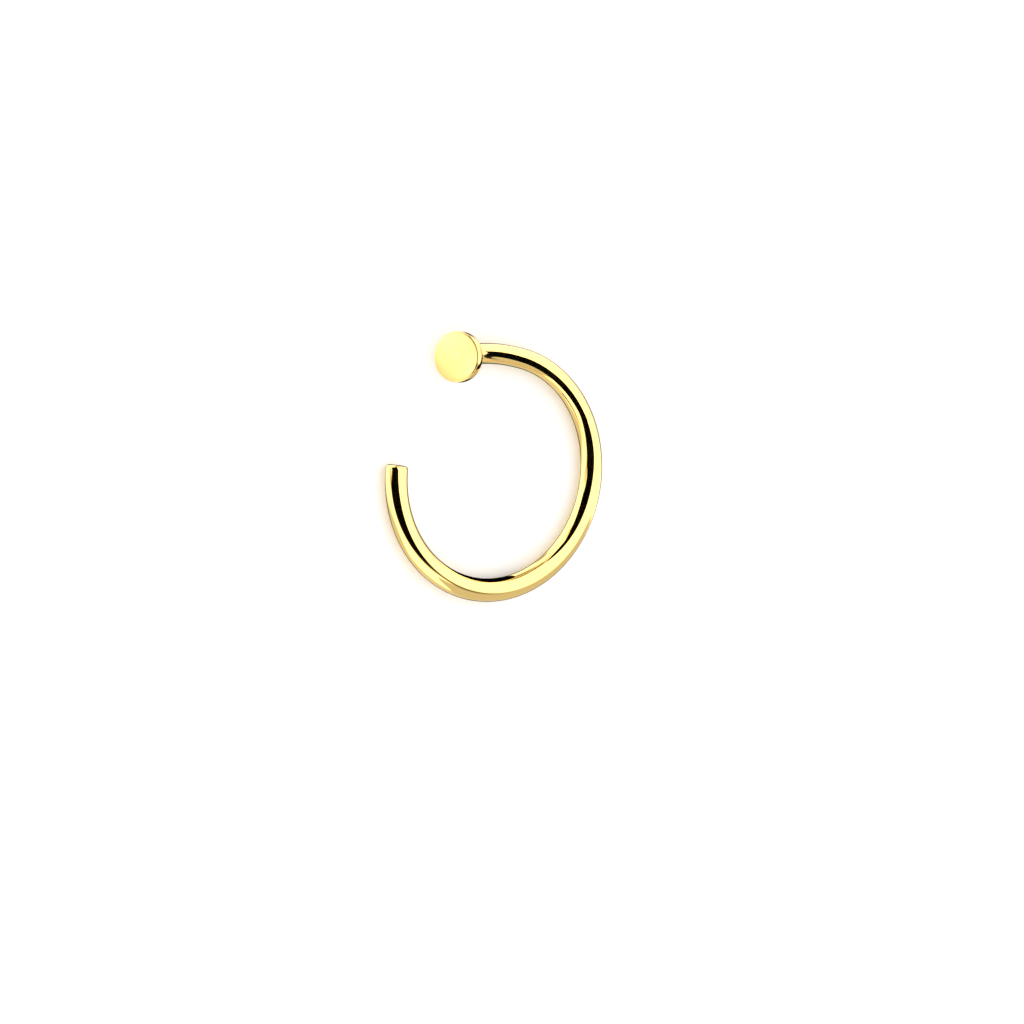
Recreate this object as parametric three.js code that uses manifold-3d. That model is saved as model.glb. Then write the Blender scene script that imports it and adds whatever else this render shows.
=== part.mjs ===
// An open nose ring: round wire bent into a C-shaped hoop, rounded off at its free end,
// with a thin flat disc soldered on the other end as a stopper.
// Millimetres, +Z up. The ring lies on its side on the plane Z = 0, centred over the origin.
// Wire and disc are soldered metal, so they are joined into one solid.

import * as THREE from 'three';
import { mergeVertices } from 'three/addons/utils/BufferGeometryUtils.js';
import Module from 'manifold-3d';

const radians = THREE.MathUtils.degToRad;

// Wire. It is a little thicker on the side of the hoop that faces SWELL_ANGLE.
const INSIDE_DIAMETER = 8.0;
const WIRE_DIAMETER = 0.82;
const WIRE_SWELL = 0.07;
const END_ROUND = 0.12;

// Hoop. Angles turn counter-clockwise from +X, seen from above.
const HOOP_RADIUS = INSIDE_DIAMETER / 2 + 0.4;
const FREE_END_ANGLE = radians(-185.5);
const BEND_ANGLE = radians(78);
const SWELL_ANGLE = radians(-83);

// Disc. The wire leaves the flat circle at BEND_ANGLE and rises to the disc's centre.
const DISC_DIAMETER = 1.85;
const DISC_THICKNESS = 0.38;
const DISC_EDGE = 0.04;
const DISC_ANGLE = radians(119);
const DISC_REACH = 5.04;
const DISC_HEIGHT = 0.85;
const DISC_TURN = radians(27);
const DISC_PITCH = radians(4.2);
const BEND_START_PULL = 1.88;
const BEND_END_PULL = 0.69;

// Facets.
const WIRE_SIDES = 20;
const WIRE_STEPS = 72;
const END_STEPS = 3;
const DISC_SIDES = 40;

const UP = new THREE.Vector3(0, 0, 1);
const LATHE_AXIS = new THREE.Vector3(0, 1, 0);

const wasm = await Module();
wasm.setup();

function hoopPoint(angle) {
  return new THREE.Vector3(HOOP_RADIUS * Math.cos(angle), HOOP_RADIUS * Math.sin(angle), 0);
}

// The flat part of the hoop, an arc of a circle from the free end to the start of the bend.
class HoopArc extends THREE.Curve {
  getPoint(t) {
    return hoopPoint(THREE.MathUtils.lerp(FREE_END_ANGLE, BEND_ANGLE, t));
  }
}

const discNormal = new THREE.Vector3(
  -Math.cos(DISC_TURN) * Math.cos(DISC_PITCH),
  Math.sin(DISC_PITCH),
  Math.sin(DISC_TURN) * Math.cos(DISC_PITCH),
);

const discCentre = new THREE.Vector3(
  DISC_REACH * Math.cos(DISC_ANGLE),
  DISC_REACH * Math.sin(DISC_ANGLE),
  DISC_HEIGHT,
);

// The wire's centre line: the arc, then a bend that meets the disc square on.
function wireLine() {
  const start = hoopPoint(BEND_ANGLE);
  const heading = new THREE.Vector3(-Math.sin(BEND_ANGLE), Math.cos(BEND_ANGLE), 0);
  const startPull = start.clone().addScaledVector(heading, BEND_START_PULL);
  const endPull = discCentre.clone().addScaledVector(discNormal, -BEND_END_PULL);
  const line = new THREE.CurvePath();
  line.add(new HoopArc());
  line.add(new THREE.CubicBezierCurve3(start, startPull, endPull, discCentre));
  return line;
}

function wireRadius(point) {
  const angle = Math.atan2(point.y, point.x);
  return (WIRE_DIAMETER / 2) * (1 + WIRE_SWELL * Math.cos(angle - SWELL_ANGLE));
}

// A straight rod of unit radius and unit length along +Y, with a rounded edge at the free end.
function unitRod(length) {
  const edge = END_ROUND / (WIRE_DIAMETER / 2);
  const profile = [new THREE.Vector2(0, 0)];
  for (let step = 0; step < END_STEPS; step += 1) {
    const turn = (Math.PI / 2) * (step / END_STEPS);
    const across = 1 - edge * (1 - Math.sin(turn));
    const along = (END_ROUND * (1 - Math.cos(turn))) / length;
    profile.push(new THREE.Vector2(across, along));
  }
  for (let step = 0; step <= WIRE_STEPS; step += 1) {
    const along = THREE.MathUtils.lerp(END_ROUND / length, 1, step / WIRE_STEPS);
    profile.push(new THREE.Vector2(1, along));
  }
  profile.push(new THREE.Vector2(0, 1));
  return new THREE.LatheGeometry(profile, WIRE_SIDES);
}

// Bends the rod so that its axis follows the wire's centre line.
function wireGeometry() {
  const line = wireLine();
  const rod = unitRod(line.getLength());
  const place = rod.getAttribute('position');
  const local = new THREE.Vector3();
  for (let index = 0; index < place.count; index += 1) {
    local.fromBufferAttribute(place, index);
    const centre = line.getPoint(local.y);
    const tangent = line.getTangent(local.y);
    const side = new THREE.Vector3().crossVectors(tangent, UP).normalize();
    const lift = new THREE.Vector3().crossVectors(side, tangent);
    const radius = wireRadius(centre);
    centre.addScaledVector(side, local.x * radius);
    centre.addScaledVector(lift, local.z * radius);
    place.setXYZ(index, centre.x, centre.y, centre.z);
  }
  return rod;
}

// A flat disc with softened edges, its axis turned from +Y to the disc's normal.
function discGeometry() {
  const radius = DISC_DIAMETER / 2;
  const half = DISC_THICKNESS / 2;
  const profile = [
    new THREE.Vector2(0, -half),
    new THREE.Vector2(radius - DISC_EDGE, -half),
    new THREE.Vector2(radius, DISC_EDGE - half),
    new THREE.Vector2(radius, half - DISC_EDGE),
    new THREE.Vector2(radius - DISC_EDGE, half),
    new THREE.Vector2(0, half),
  ];
  const disc = new THREE.LatheGeometry(profile, DISC_SIDES);
  disc.applyQuaternion(new THREE.Quaternion().setFromUnitVectors(LATHE_AXIS, discNormal));
  return disc.translate(discCentre.x, discCentre.y, discCentre.z);
}

function toSolid(geometry) {
  const bare = geometry.clone();
  bare.deleteAttribute('normal');
  bare.deleteAttribute('uv');
  const merged = mergeVertices(bare);
  return new wasm.Manifold(new wasm.Mesh({
    numProp: 3,
    vertProperties: new Float32Array(merged.getAttribute('position').array),
    triVerts: new Uint32Array(merged.getIndex().array),
  }));
}

function toGeometry(solid) {
  const mesh = solid.getMesh();
  const geometry = new THREE.BufferGeometry();
  geometry.setAttribute('position', new THREE.BufferAttribute(mesh.vertProperties, 3));
  geometry.setIndex(new THREE.BufferAttribute(mesh.triVerts, 1));
  geometry.computeVertexNormals();
  return geometry;
}

const polishedGold = new THREE.MeshStandardMaterial({
  name: 'polished_gold',
  color: 0xe9c46f,
  metalness: 1,
  roughness: 0.12,
});

const joined = toSolid(wireGeometry()).add(toSolid(discGeometry()));
const noseRing = new THREE.Mesh(toGeometry(joined), polishedGold);
noseRing.name = 'nose_ring';

// Sets the ring down on Z = 0 with the middle of its outline over the origin.
const extent = new THREE.Box3().setFromObject(noseRing);
const middle = extent.getCenter(new THREE.Vector3());
noseRing.position.set(-middle.x, -middle.y, -extent.min.z);

const part = new THREE.Group();
part.name = 'open_nose_ring';
part.add(noseRing);

export default part;
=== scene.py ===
# An open nose ring of polished gold, lying on its side on a pale floor.
# Metres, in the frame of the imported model: +Z up, the floor at Z = 0.

from collections import namedtuple
from math import atan2, cos, pi, radians, sin, tan

import bpy
from mathutils import Matrix, Quaternion, Vector


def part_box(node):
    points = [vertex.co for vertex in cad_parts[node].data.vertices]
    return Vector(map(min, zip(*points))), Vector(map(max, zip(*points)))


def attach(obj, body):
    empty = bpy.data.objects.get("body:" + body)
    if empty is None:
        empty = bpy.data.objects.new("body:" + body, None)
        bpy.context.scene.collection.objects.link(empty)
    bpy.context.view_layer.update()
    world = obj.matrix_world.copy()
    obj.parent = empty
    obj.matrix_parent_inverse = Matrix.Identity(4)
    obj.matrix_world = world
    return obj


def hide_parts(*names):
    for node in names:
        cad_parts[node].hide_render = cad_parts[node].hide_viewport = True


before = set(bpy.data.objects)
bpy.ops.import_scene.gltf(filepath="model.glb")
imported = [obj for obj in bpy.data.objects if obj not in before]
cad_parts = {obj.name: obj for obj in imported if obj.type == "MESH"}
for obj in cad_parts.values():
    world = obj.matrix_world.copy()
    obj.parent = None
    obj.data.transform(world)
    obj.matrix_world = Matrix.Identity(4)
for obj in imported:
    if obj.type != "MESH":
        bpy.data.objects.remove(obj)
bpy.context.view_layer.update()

MM = 0.001
CAD_NODE = "nose_ring"

# Wire and hoop, the same dimensions as the CAD solid.
WIRE_RADIUS = 0.41 * MM
WIRE_SWELL = 0.07
SWELL_ANGLE = radians(-83)
END_ROUND = 0.12 * MM
HOOP_RADIUS = 4.4 * MM
FREE_END_ANGLE = radians(-185.5)
BEND_ANGLE = radians(78)

# The arc starts this many edge roundings past the free end, just clear of the rounded edge.
END_CLEARANCE = 1.2

# Disc, soldered square on to the end of the bend.
DISC_RADIUS = 0.925 * MM
DISC_THICKNESS = 0.38 * MM
DISC_EDGE = 0.04 * MM
DISC_ANGLE = radians(119)
DISC_REACH = 5.04 * MM
DISC_HEIGHT = 0.85 * MM
DISC_TURN = radians(27)
DISC_PITCH = radians(4.2)
BEND_START_PULL = 1.88 * MM
BEND_END_PULL = 0.69 * MM
SOLDER_FILLET = 0.08 * MM
DISC_CROWN = 0.02 * MM
SOLDER_REACH = 0.48 * MM

# Mesh density.
WIRE_SIDES = 96
ARC_STEPS = 360
BEND_STEPS = 80
EDGE_STEPS = 8
FACE_STEPS = 16
SHARP_ANGLE = radians(40)

# Camera: the direction it looks from, its roll, and how far it is moved across and down.
VIEW_AZIMUTH = radians(168.37)
VIEW_ELEVATION = radians(54.67)
VIEW_ROLL = radians(2.1)
VIEW_DISTANCE = 88 * MM
VIEW_ACROSS = 0.575 * MM
VIEW_DOWN = 1.437 * MM
LENS = 82.8
SENSOR = 36
CLIP_RATIO = 100

# Gold and floor. Scales are per millimetre on the gold and per metre on the floor. A noise
# keeps mostly between the two NOISE_MIDDLE values.
NOISE_MIDDLE = (0.3, 0.7)
GOLD = (1.0, 0.71, 0.25)
RICH_GOLD = (1.0, 0.695, 0.235)
HAIRLINES = 30.0
HAIRLINE_STRETCH = 1.5
HAIRLINE_ROUGHNESS = (0.02, 0.06)
HAIRLINE_HEIGHT = 0.0001 * MM
HAIRLINE_STRENGTH = 0.4
WAVE_SCALE = 2.2
WAVE_HEIGHT = 0.0006 * MM
WAVE_STRENGTH = 0.6
CLOUD_SCALE = 0.9
CLOUD_ROUGHNESS = (0.0, 0.03)
SOLDER_ROUGHNESS = 0.12
FLOOR_TOOTH = 4000.0
FLOOR_TOOTH_HEIGHT = 0.01 * MM
FLOOR_TOOTH_STRENGTH = 0.2
FLOOR_ROUGHNESS = 0.9
FLOOR_WHITE = (0.92, 0.92, 0.92)
FLOOR_SHADE = (0.88, 0.88, 0.88)

# Studio. The gold mirrors a bright tent with soft cards in it. A card's azimuth and elevation
# are from the camera's own place: 0, 0 is at the camera, 90, 0 at its right hand. All its angles
# are in degrees, and a later card covers an earlier one. MIN_AHEAD keeps rays that run beside or
# away from a card out of a division by zero.
FLOOR_HALF = 2.0
PLAIN_BRIGHTNESS = 1.4
TENT_BRIGHTNESS = 2.0
MIN_AHEAD = 0.001
Card = namedtuple(
    "Card", "name azimuth elevation half_width half_height turn squareness softness brightness",
)
CARDS = (
    Card("left_brown", -127, -28, 42, 20, -32, 2, 0.3, 0.8),
    Card("left_brown_core", -143, -8, 12, 7, -30, 2, 0.7, 0.35),
    Card("low_back", -162, -55, 30, 22, -15, 2, 0.3, 0.85),
    Card("table", 114, -48, 38, 34, 0, 4, 0.06, 0.72),
    Card("haze", 146, 8, 22, 16, 0, 2, 0.6, 0.5),
    Card("ceiling", 90, 80, 27, 16, 0, 2, 0.35, 0.42),
    Card("wisp", -150, 44, 5, 16, -30, 2, 0.6, 0.55),
    Card("outline", 180, 0, 36, 36, 0, 2, 0.35, 0.08),
    Card("black_flag", 4, 0, 65, 50, -14, 2, 0.12, 0.0),
    Card("black_tip", 0, 52, 12, 14, 0, 2, 0.1, 0.0),
    Card("window", 56, 24, 38, 46, -23, 4, 0.04, 2.0),
    Card("corner", 66, -31, 9, 8, 0, 2, 0.6, 0.25),
    Card("disc_light", -58, 4, 6, 13, 42, 2, 0.7, 2.0),
    Card("disc_shade", -66, -4, 7, 12, 42, 2, 0.6, 0.9),
)

# Narrow black flags close to the wire. For each station: the angle round the hoop in degrees,
# then the radius and the height of the outer and of the inner edge in millimetres.
FLAGS = {
    "top_flag": (
        (20, 4.50, 1.90, 3.05, 1.30),
        (35, 4.40, 1.80, 3.00, 1.00),
        (50, 4.45, 1.74, 3.15, 1.00),
        (65, 4.75, 1.64, 3.40, 1.20),
        (77, 5.02, 1.36, 3.78, 1.23),
        (90, 5.22, 1.00, 4.35, 1.10),
    ),
    "bottom_flag": (
        (-116, 3.40, -0.55, 3.24, -0.30),
        (-105, 3.80, -0.90, 3.18, -0.05),
        (-92, 4.00, -1.05, 3.16, 0.12),
        (-80, 4.05, -1.10, 3.14, 0.24),
        (-72, 3.70, -0.85, 3.11, 0.18),
        (-67, 3.20, -0.20, 3.08, 0.08),
    ),
    "end_flag": (
        (158, 3.95, -0.55, 3.50, -0.15),
        (165, 3.95, -0.55, 3.50, -0.15),
    ),
}
FLAG_STEPS = 12


# ---------------------------------------------------------------- shape

DISC_NORMAL = Vector((
    -cos(DISC_TURN) * cos(DISC_PITCH),
    sin(DISC_PITCH),
    sin(DISC_TURN) * cos(DISC_PITCH),
))
DISC_CENTRE = Vector((DISC_REACH * cos(DISC_ANGLE), DISC_REACH * sin(DISC_ANGLE), DISC_HEIGHT))


def hoop_point(angle):
    return Vector((HOOP_RADIUS * cos(angle), HOOP_RADIUS * sin(angle), 0))


def hoop_heading(angle):
    return Vector((-sin(angle), cos(angle), 0))


def wire_radius(point):
    """The wire is a little thicker on the side of the hoop that faces SWELL_ANGLE."""
    return WIRE_RADIUS * (1 + WIRE_SWELL * cos(atan2(point.y, point.x) - SWELL_ANGLE))


def bend_at(t):
    """Point and direction of the cubic curve from the end of the arc to the disc's centre."""
    start = hoop_point(BEND_ANGLE)
    start_pull = start + hoop_heading(BEND_ANGLE) * BEND_START_PULL
    end_pull = DISC_CENTRE - DISC_NORMAL * BEND_END_PULL
    s = 1 - t
    point = start * s**3 + start_pull * 3 * s * s * t
    point += end_pull * 3 * s * t * t + DISC_CENTRE * t**3
    slope = (start_pull - start) * s * s + (end_pull - start_pull) * 2 * s * t
    slope += (DISC_CENTRE - end_pull) * t * t
    return point, slope.normalized()


def rounded(radius, turn):
    """How far a quarter-round edge is set in sideways and lengthways at one point of its turn."""
    return radius * (1 - sin(turn)), radius * (1 - cos(turn))


def free_end_sections():
    """The flat end face and its rounded edge."""
    cut = hoop_point(FREE_END_ANGLE)
    heading = hoop_heading(FREE_END_ANGLE)
    full = wire_radius(cut)
    sections = []
    for step in range(1, FACE_STEPS):
        sections.append((cut, heading, (full - END_ROUND) * step / FACE_STEPS))
    for step in range(EDGE_STEPS + 1):
        inset, depth = rounded(END_ROUND, pi / 2 * step / EDGE_STEPS)
        sections.append((cut + heading * depth, heading, full - inset))
    return sections


def arc_sections():
    start = FREE_END_ANGLE + END_CLEARANCE * END_ROUND / HOOP_RADIUS
    sections = []
    for step in range(ARC_STEPS):
        angle = start + (BEND_ANGLE - start) * step / ARC_STEPS
        point = hoop_point(angle)
        sections.append((point, hoop_heading(angle), wire_radius(point)))
    return sections


def bend_sections():
    """The bend, ending a fillet's width behind the back of the disc."""
    sections = []
    for step in range(BEND_STEPS):
        point, heading = bend_at(step / BEND_STEPS)
        behind = DISC_NORMAL.dot(DISC_CENTRE - point) - DISC_THICKNESS / 2
        if behind > SOLDER_FILLET:
            sections.append((point, heading, wire_radius(point)))
    return sections


def disc_sections(root):
    """The solder fillet, the back, the rim and the flat face, as rings round the disc's axis."""
    half = DISC_THICKNESS / 2
    foot = root + SOLDER_FILLET
    flat = DISC_RADIUS - DISC_EDGE
    rings = []
    for step in range(EDGE_STEPS + 1):
        turn = pi / 2 * step / EDGE_STEPS
        along = -half - SOLDER_FILLET + SOLDER_FILLET * sin(turn)
        rings.append((along, foot - SOLDER_FILLET * cos(turn)))
    for step in range(1, FACE_STEPS):
        rings.append((-half, foot + (flat - foot) * step / FACE_STEPS))
    for step in range(EDGE_STEPS + 1):
        inset, depth = rounded(DISC_EDGE, pi / 2 * step / EDGE_STEPS)
        rings.append((-half + depth, DISC_RADIUS - inset))
    for step in range(EDGE_STEPS, -1, -1):
        inset, depth = rounded(DISC_EDGE, pi / 2 * step / EDGE_STEPS)
        rings.append((half - DISC_CROWN - depth, DISC_RADIUS - inset))
    for step in range(FACE_STEPS - 1, 0, -1):
        share = step / FACE_STEPS
        rings.append((half - DISC_CROWN * share * share, flat * share))
    return [(DISC_CENTRE + DISC_NORMAL * along, DISC_NORMAL, radius) for along, radius in rings]


def ring_sections():
    sections = free_end_sections() + arc_sections() + bend_sections()
    return sections + disc_sections(sections[-1][2])


def skin(sections):
    """A closed mesh through round sections, with a point at the middle of each end.

    The grain of a point is its place in the cross-section and along the wire, in millimetres.
    """
    verts = [sections[0][0]]
    grain = [Vector((0, 0, 0))]
    travelled = 0
    before = sections[0][0]
    for centre, heading, radius in sections:
        travelled += (centre - before).length
        before = centre
        side = heading.cross(Vector((0, 0, 1))).normalized()
        lift = side.cross(heading)
        for corner in range(WIRE_SIDES):
            turn = 2 * pi * corner / WIRE_SIDES
            verts.append(centre + side * radius * cos(turn) + lift * radius * sin(turn))
            grain.append(Vector((radius * cos(turn), radius * sin(turn), travelled)) / MM)
    verts.append(sections[-1][0])
    grain.append(Vector((0, 0, travelled)) / MM)
    faces = []
    for corner in range(WIRE_SIDES):
        after = (corner + 1) % WIRE_SIDES
        faces.append((0, 1 + after, 1 + corner))
        for row in range(len(sections) - 1):
            low = 1 + row * WIRE_SIDES
            high = low + WIRE_SIDES
            faces.append((low + corner, low + after, high + after, high + corner))
        low = 1 + (len(sections) - 1) * WIRE_SIDES
        faces.append((low + corner, low + after, len(verts) - 1))
    return verts, faces, grain


def settle(verts):
    """Moves the points from the hoop's own frame to the place of the CAD solid."""
    low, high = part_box(CAD_NODE)
    mine_low = Vector([min(v[axis] for v in verts) for axis in range(3)])
    mine_high = Vector([max(v[axis] for v in verts) for axis in range(3)])
    shift = (low + high - mine_low - mine_high) / 2
    shift.z = low.z - mine_low.z
    return [v + shift for v in verts], shift


def make_ring():
    verts, faces, grain = skin(ring_sections())
    verts, shift = settle(verts)
    mesh = bpy.data.meshes.new("gold_ring")
    mesh.from_pydata(verts, [], faces)
    drawn = mesh.attributes.new("grain", "FLOAT_VECTOR", "POINT")
    for place, value in enumerate(grain):
        drawn.data[place].vector = value
    soldered = mesh.attributes.new("soldered", "FLOAT", "POINT")
    # Full at the fillet, SOLDER_REACH from the middle of the joint, and none at twice that.
    joint = DISC_CENTRE - DISC_NORMAL * DISC_THICKNESS / 2 + shift
    for place, point in enumerate(verts):
        soldered.data[place].value = max(0, 1 - abs((point - joint).length / SOLDER_REACH - 1))
    mesh.validate()
    mesh.shade_smooth()
    mesh.set_sharp_from_angle(angle=SHARP_ANGLE)
    ring = bpy.data.objects.new("gold_ring", mesh)
    bpy.context.scene.collection.objects.link(ring)
    return ring, shift


# ---------------------------------------------------------------- materials

def math_node(tree, operation, *values):
    made = tree.nodes.new("ShaderNodeMath")
    made.operation = operation
    return wired(tree, made, values).outputs["Value"]


def vector_node(tree, operation, *values):
    made = tree.nodes.new("ShaderNodeVectorMath")
    made.operation = operation
    wired(tree, made, values)
    return made.outputs["Value" if operation in ("DOT_PRODUCT", "LENGTH") else "Vector"]


def wired(tree, made, values):
    """Links sockets and sets plain values, in order, on the inputs of a node."""
    for place, value in enumerate(values):
        if isinstance(value, bpy.types.NodeSocket):
            tree.links.new(value, made.inputs[place])
        else:
            made.inputs[place].default_value = value
    return made


def plugged(made, tree, **inputs):
    """Sets or links a node's inputs by name; an underscore stands for a space."""
    for name, value in inputs.items():
        socket = made.inputs[name.replace("_", " ")]
        if isinstance(value, bpy.types.NodeSocket):
            tree.links.new(value, socket)
        else:
            socket.default_value = value


def noise(tree, where, scale, detail):
    made = tree.nodes.new("ShaderNodeTexNoise")
    plugged(made, tree, Vector=where, Scale=scale, Detail=detail)
    return made.outputs["Fac"]


def attribute(tree, name, output):
    made = tree.nodes.new("ShaderNodeAttribute")
    made.attribute_name = name
    return made.outputs[output]


def spread(tree, value, low, high):
    """Carries the middle of a noise over to a range."""
    made = tree.nodes.new("ShaderNodeMapRange")
    least, most = NOISE_MIDDLE
    plugged(made, tree, Value=value, From_Min=least, From_Max=most, To_Min=low, To_Max=high)
    return made.outputs["Result"]


def tinted(tree, amount, first, second):
    """A blend of two colours. A Mix node's colour sockets share names, so they go by number."""
    made = tree.nodes.new("ShaderNodeMix")
    made.data_type = "RGBA"
    tree.links.new(amount, made.inputs[0])
    made.inputs[6].default_value = (*first, 1)
    made.inputs[7].default_value = (*second, 1)
    return made.outputs[2]


def gold_material():
    """Mirror-polished gold plate: hairlines along the wire, faint waves, duller solder."""
    material = bpy.data.materials.new("polished_gold")
    material.use_nodes = True
    tree = material.node_tree
    shader = tree.nodes["Principled BSDF"]
    grain = attribute(tree, "grain", "Vector")
    stretched = vector_node(tree, "MULTIPLY", grain, (HAIRLINES, HAIRLINES, HAIRLINE_STRETCH))
    hairlines = noise(tree, stretched, scale=1.0, detail=3.0)
    waves = noise(tree, grain, scale=WAVE_SCALE, detail=2.0)
    clouds = noise(tree, grain, scale=CLOUD_SCALE, detail=3.0)
    polish = math_node(
        tree, "ADD",
        spread(tree, hairlines, *HAIRLINE_ROUGHNESS),
        spread(tree, clouds, *CLOUD_ROUGHNESS),
    )
    solder = math_node(tree, "MULTIPLY", attribute(tree, "soldered", "Fac"), SOLDER_ROUGHNESS)
    roughness = math_node(tree, "ADD", polish, solder)
    tree.links.new(roughness, shader.inputs["Roughness"])
    colour = tinted(tree, spread(tree, clouds, 0, 1), GOLD, RICH_GOLD)
    tree.links.new(colour, shader.inputs["Base Color"])
    ripple = tree.nodes.new("ShaderNodeBump")
    plugged(ripple, tree, Strength=WAVE_STRENGTH, Distance=WAVE_HEIGHT, Height=waves)
    scratch = tree.nodes.new("ShaderNodeBump")
    plugged(
        scratch, tree,
        Strength=HAIRLINE_STRENGTH, Distance=HAIRLINE_HEIGHT, Height=hairlines,
    )
    tree.links.new(ripple.outputs["Normal"], scratch.inputs["Normal"])
    tree.links.new(scratch.outputs["Normal"], shader.inputs["Normal"])
    shader.inputs["Metallic"].default_value = 1.0
    return material


def flag_material():
    """Flat black, with no shine."""
    material = bpy.data.materials.new("black_flag")
    material.use_nodes = True
    shader = material.node_tree.nodes["Principled BSDF"]
    shader.inputs["Base Color"].default_value = (0.0, 0.0, 0.0, 1.0)
    shader.inputs["Specular IOR Level"].default_value = 0.0
    return material


def floor_material():
    """Smooth white card with a faint tooth."""
    material = bpy.data.materials.new("pale_floor")
    material.use_nodes = True
    tree = material.node_tree
    shader = tree.nodes["Principled BSDF"]
    where = tree.nodes.new("ShaderNodeTexCoord").outputs["Object"]
    fibres = noise(tree, where, scale=FLOOR_TOOTH, detail=4.0)
    colour = tinted(tree, fibres, FLOOR_WHITE, FLOOR_SHADE)
    tree.links.new(colour, shader.inputs["Base Color"])
    tooth = tree.nodes.new("ShaderNodeBump")
    plugged(
        tooth, tree,
        Strength=FLOOR_TOOTH_STRENGTH, Distance=FLOOR_TOOTH_HEIGHT, Height=fibres,
    )
    tree.links.new(tooth.outputs["Normal"], shader.inputs["Normal"])
    shader.inputs["Roughness"].default_value = FLOOR_ROUGHNESS
    return material


# ---------------------------------------------------------------- camera

def camera_axes():
    back = Vector((
        cos(VIEW_AZIMUTH) * cos(VIEW_ELEVATION),
        sin(VIEW_AZIMUTH) * cos(VIEW_ELEVATION),
        sin(VIEW_ELEVATION),
    ))
    right = Vector((0, 1, 0)).cross(back).normalized()
    right = Quaternion(back, VIEW_ROLL) @ right
    return right, back.cross(right), back


def make_camera(hoop_centre):
    right, up, back = camera_axes()
    data = bpy.data.cameras.new("camera")
    data.lens = LENS
    data.sensor_width = SENSOR
    data.clip_start = VIEW_DISTANCE / CLIP_RATIO
    data.clip_end = VIEW_DISTANCE * CLIP_RATIO
    camera = bpy.data.objects.new("camera", data)
    place = hoop_centre + back * VIEW_DISTANCE + right * VIEW_ACROSS - up * VIEW_DOWN
    facing = Matrix((right, up, back)).transposed().to_4x4()
    camera.matrix_world = Matrix.Translation(place) @ facing
    bpy.context.scene.collection.objects.link(camera)
    bpy.context.scene.camera = camera


# ---------------------------------------------------------------- studio

def make_floor():
    """A pale floor that the gold doesn't mirror."""
    mesh = bpy.data.meshes.new("floor")
    half = FLOOR_HALF
    corners = [(-half, -half, 0), (half, -half, 0), (half, half, 0), (-half, half, 0)]
    mesh.from_pydata(corners, [], [(0, 1, 2, 3)])
    floor = bpy.data.objects.new("floor", mesh)
    floor.data.materials.append(floor_material())
    bpy.context.scene.collection.objects.link(floor)
    floor.visible_glossy = False


def card_axes(azimuth, elevation, turn):
    """The way to a card's middle, its width and its height, in the frame of the model."""
    right, up, back = camera_axes()
    towards = (right * sin(azimuth) + back * cos(azimuth)) * cos(elevation) + up * sin(elevation)
    width = right * cos(azimuth) - back * sin(azimuth)
    height = towards.cross(width)
    spun = width * cos(turn) + height * sin(turn)
    return towards, spun, towards.cross(spun)


def card_cover(tree, heading, card):
    """1 where a ray meets the flat card, 0 where it misses it, soft along its edge."""
    towards, width, height = card_axes(
        radians(card.azimuth), radians(card.elevation), radians(card.turn),
    )
    ahead = vector_node(tree, "DOT_PRODUCT", heading, towards)
    across = vector_node(tree, "DOT_PRODUCT", heading, width / tan(radians(card.half_width)))
    along = vector_node(tree, "DOT_PRODUCT", heading, height / tan(radians(card.half_height)))
    reach = math_node(tree, "MAXIMUM", ahead, MIN_AHEAD)
    sideways = math_node(tree, "ABSOLUTE", math_node(tree, "DIVIDE", across, reach))
    upwards = math_node(tree, "ABSOLUTE", math_node(tree, "DIVIDE", along, reach))
    total = math_node(
        tree, "ADD",
        math_node(tree, "POWER", sideways, card.squareness),
        math_node(tree, "POWER", upwards, card.squareness),
    )
    rim = math_node(tree, "POWER", total, 1 / card.squareness)
    cover = tree.nodes.new("ShaderNodeMapRange")
    cover.interpolation_type = "SMOOTHSTEP"
    plugged(
        cover, tree,
        Value=rim, From_Min=1 - card.softness, From_Max=1 + card.softness, To_Min=1, To_Max=0,
    )
    return cover.outputs["Result"]


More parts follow.
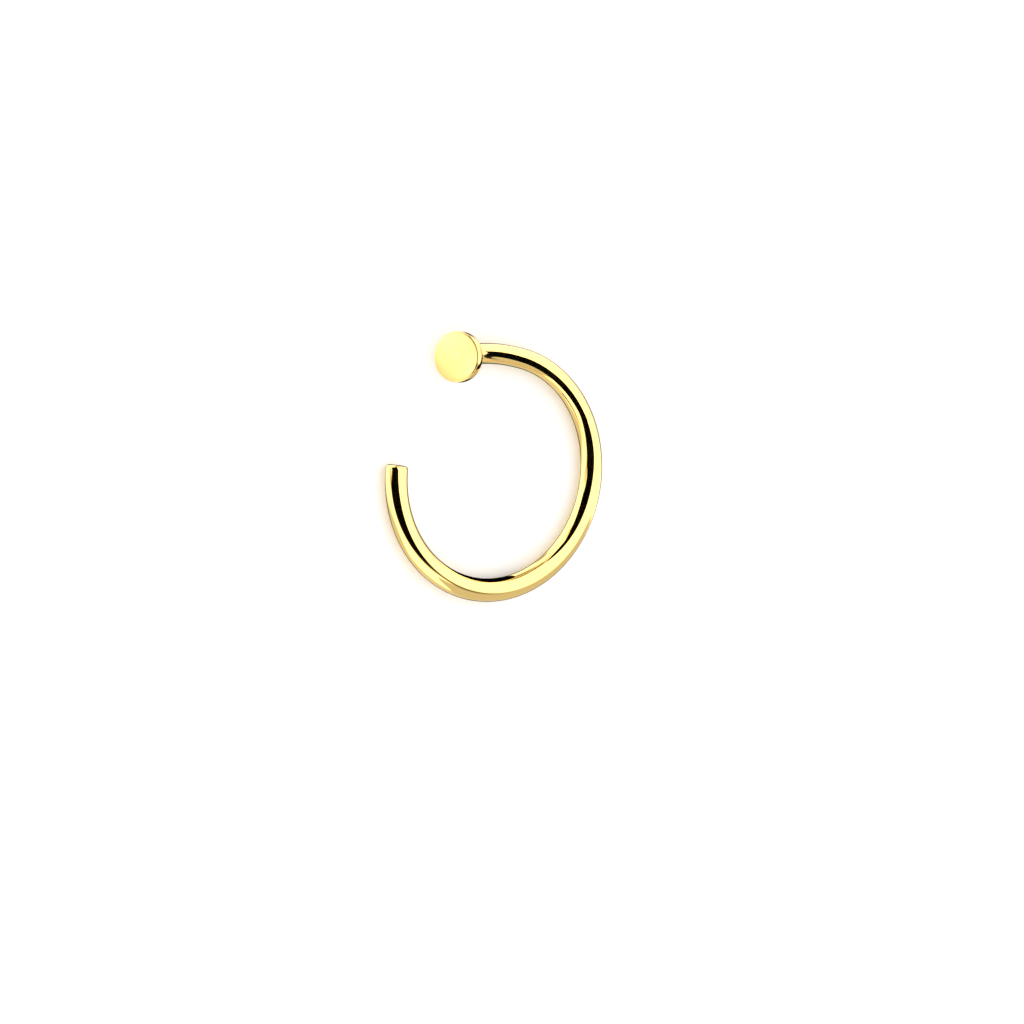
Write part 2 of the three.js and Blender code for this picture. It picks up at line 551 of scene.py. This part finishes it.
def make_world():
    """A pale tent for the floor and the camera, and one with cards for the gold to mirror."""
    world = bpy.data.worlds.new("studio")
    bpy.context.scene.world = world
    world.use_nodes = True
    tree = world.node_tree
    heading = tree.nodes.new("ShaderNodeTexCoord").outputs["Generated"]
    mirrored = TENT_BRIGHTNESS
    for card in CARDS:
        mix = tree.nodes.new("ShaderNodeMix")
        mix.data_type = "FLOAT"
        tree.links.new(card_cover(tree, heading, card), mix.inputs["Factor"])
        if isinstance(mirrored, float):
            mix.inputs["A"].default_value = mirrored
        else:
            tree.links.new(mirrored, mix.inputs["A"])
        mix.inputs["B"].default_value = card.brightness
        mirrored = mix.outputs["Result"]
    plain = tree.nodes["Background"]
    plain.inputs["Color"].default_value = (1, 1, 1, 1)
    plain.inputs["Strength"].default_value = PLAIN_BRIGHTNESS
    tent = tree.nodes.new("ShaderNodeBackground")
    tent.inputs["Color"].default_value = (1, 1, 1, 1)
    tree.links.new(mirrored, tent.inputs["Strength"])
    choice = tree.nodes.new("ShaderNodeMixShader")
    glossy = tree.nodes.new("ShaderNodeLightPath").outputs["Is Glossy Ray"]
    tree.links.new(glossy, choice.inputs["Fac"])
    tree.links.new(plain.outputs["Background"], choice.inputs[1])
    tree.links.new(tent.outputs["Background"], choice.inputs[2])
    tree.links.new(choice.outputs["Shader"], tree.nodes["World Output"].inputs["Surface"])


def blended(stations, steps):
    """Points on the smooth Catmull-Rom curve through the stations."""
    rows = [stations[0], *stations, stations[-1]]
    points = []
    for index in range(len(rows) - 3):
        a, b, c, d = rows[index:index + 4]
        for step in range(steps):
            t = step / steps
            points.append([
                q + t * (r - p) / 2
                + t * t * (p - 2.5 * q + 2 * r - s / 2)
                + t**3 * (1.5 * (q - r) + (s - p) / 2)
                for p, q, r, s in zip(a, b, c, d)
            ])
    points.append(list(stations[-1]))
    return points


def make_flag(name, material, stations, hoop_centre):
    """A curved black strip that only the gold's own reflections can see."""
    verts = []
    for angle, outer, outer_height, inner, inner_height in blended(stations, FLAG_STEPS):
        way = Vector((cos(radians(angle)), sin(radians(angle)), 0))
        verts.append(hoop_centre + (way * outer + Vector((0, 0, outer_height))) * MM)
        verts.append(hoop_centre + (way * inner + Vector((0, 0, inner_height))) * MM)
    faces = [(low, low + 1, low + 3, low + 2) for low in range(0, len(verts) - 2, 2)]
    mesh = bpy.data.meshes.new(name)
    mesh.from_pydata(verts, [], faces)
    flag = bpy.data.objects.new(name, mesh)
    flag.data.materials.append(material)
    bpy.context.scene.collection.objects.link(flag)
    flag.visible_camera = False
    flag.visible_diffuse = False
    flag.visible_shadow = False
    flag.visible_transmission = False


scene = bpy.context.scene
scene.view_settings.view_transform = "Standard"

ring, shift = make_ring()
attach(ring, "root")
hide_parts(CAD_NODE)
ring.data.materials.append(gold_material())

make_camera(shift)
make_floor()
flag_black = flag_material()
for flag_name, flag_stations in FLAGS.items():
    make_flag(flag_name, flag_black, flag_stations, shift)
make_world()
